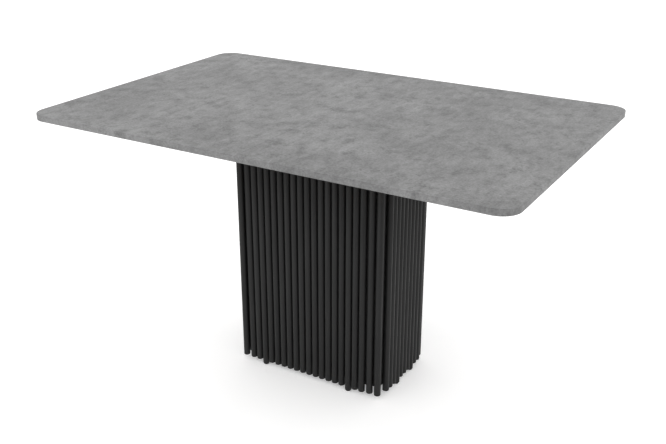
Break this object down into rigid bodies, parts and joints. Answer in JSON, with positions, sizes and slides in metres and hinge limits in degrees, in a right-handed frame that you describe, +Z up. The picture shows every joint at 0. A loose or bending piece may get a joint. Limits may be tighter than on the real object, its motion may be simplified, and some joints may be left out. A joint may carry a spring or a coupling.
{
  "type": "extendable dining table",
  "caption": "Rectangular dining table: thin concrete-look top with rounded corners, split at its middle and sliding apart over a stored leaf, on a central pedestal clad in round black rods.",
  "frame": {"origin": "on the floor under the centre of the closed top", "axes": "+X along the table's length to its right, +Y from front to back, +Z up"},
  "size_m": [1.351, 0.873, 0.762],
  "materials": {
    "concrete_laminate": "matte concrete-look melamine laminate, satin",
    "grey_edge_band": "matte grey ABS edging",
    "black_lacquer_rods": "matte black lacquer over round wooden rods",
    "black_board": "matte black painted fibreboard",
    "black_steel": "fine-textured matte black powder coat",
    "beech": "oiled beech, satin",
    "zinc_steel": "zinc-plated steel, satin",
    "bright_steel": "ground steel",
    "cast_ballast": "rough cast iron",
    "white_nylon": "natural nylon, waxy",
    "black_plastic": "moulded black plastic"
  },
  "bodies": {
    "pedestal": {"axle_clip": "zinc_steel", "back_beam": "beech", "back_panel": "black_board", "back_rods": "black_lacquer_rods", "back_slide_rail": "zinc_steel", "ballast_plate": "cast_ballast", "base_board": "black_board", "beam_screws": "zinc_steel", "corner_posts": "black_board", "corner_rods": "black_lacquer_rods", "floor_glides": "black_plastic", "foot_rods": "black_lacquer_rods", "front_beam": "beech", "front_panel": "black_board", "front_rods": "black_lacquer_rods", "front_slide_rail": "zinc_steel", "head_board": "black_board", "head_plate": "black_steel", "left_cross_rail": "beech", "left_leaf_bearer": "beech", "left_panel": "black_board", "left_rods": "black_lacquer_rods", "pinion_axle": "bright_steel", "pinion_spacer": "black_plastic", "rack_guides": "white_nylon", "rail_bolts": "zinc_steel", "right_cross_rail": "beech", "right_leaf_bearer": "beech", "right_panel": "black_board", "right_rods": "black_lacquer_rods", "slide_pads": "white_nylon", "slide_rail_screws": "zinc_steel"},
    "left_top": {"left_top_board": "concrete_laminate", "left_edge_band": "grey_edge_band", "left_inner_batten": "beech", "left_outer_batten": "beech", "left_front_runner": "zinc_steel", "left_back_runner": "zinc_steel", "left_rack": "bright_steel", "left_rack_bracket": "black_steel", "left_screws": "zinc_steel", "alignment_dowels": "bright_steel", "lock_base": "zinc_steel", "lock_pivot": "zinc_steel"},
    "right_top": {"right_top_board": "concrete_laminate", "right_edge_band": "grey_edge_band", "right_inner_batten": "beech", "right_outer_batten": "beech", "right_front_runner": "zinc_steel", "right_back_runner": "zinc_steel", "right_rack": "bright_steel", "right_rack_bracket": "black_steel", "right_screws": "zinc_steel", "lock_strike": "zinc_steel"},
    "pinion": {"drive_pinion": "white_nylon"},
    "leaf": {"leaf_lower_board": "concrete_laminate", "leaf_upper_board": "concrete_laminate", "leaf_hinges": "zinc_steel"},
    "lock": {"lock_lever": "zinc_steel", "lock_knob": "black_plastic"}
  },
  "joints": [
    {"name": "left_top_slide", "type": "slide", "parent": "pedestal", "child": "left_top", "axis": [-1, 0, 0], "range_m": [0, 0.2]},
    {"name": "right_top_slide", "type": "slide", "parent": "pedestal", "child": "right_top", "axis": [1, 0, 0], "range_m": [0, 0.2]},
    {"name": "pinion_turn", "type": "hinge", "parent": "pedestal", "child": "pinion", "pos_m": [0, 0, 0.687], "axis": [0, 0, 1], "range_deg": [0, 716.5]},
    {"name": "leaf_draw", "type": "slide", "parent": "pedestal", "child": "leaf", "axis": [0, -1, 0], "range_m": [0, 0.42]},
    {"name": "lock_swing", "type": "hinge", "parent": "left_top", "child": "lock", "pos_m": [-0.025, 0.33, 0.741], "axis": [0, 0, -1], "range_deg": [0, 90]}
  ],
  "couplings": [
    {"joint": "right_top_slide", "follows": "left_top_slide", "ratio": 1},
    {"joint": "pinion_turn", "follows": "left_top_slide", "rad_per_m": 62.5}
  ]
}
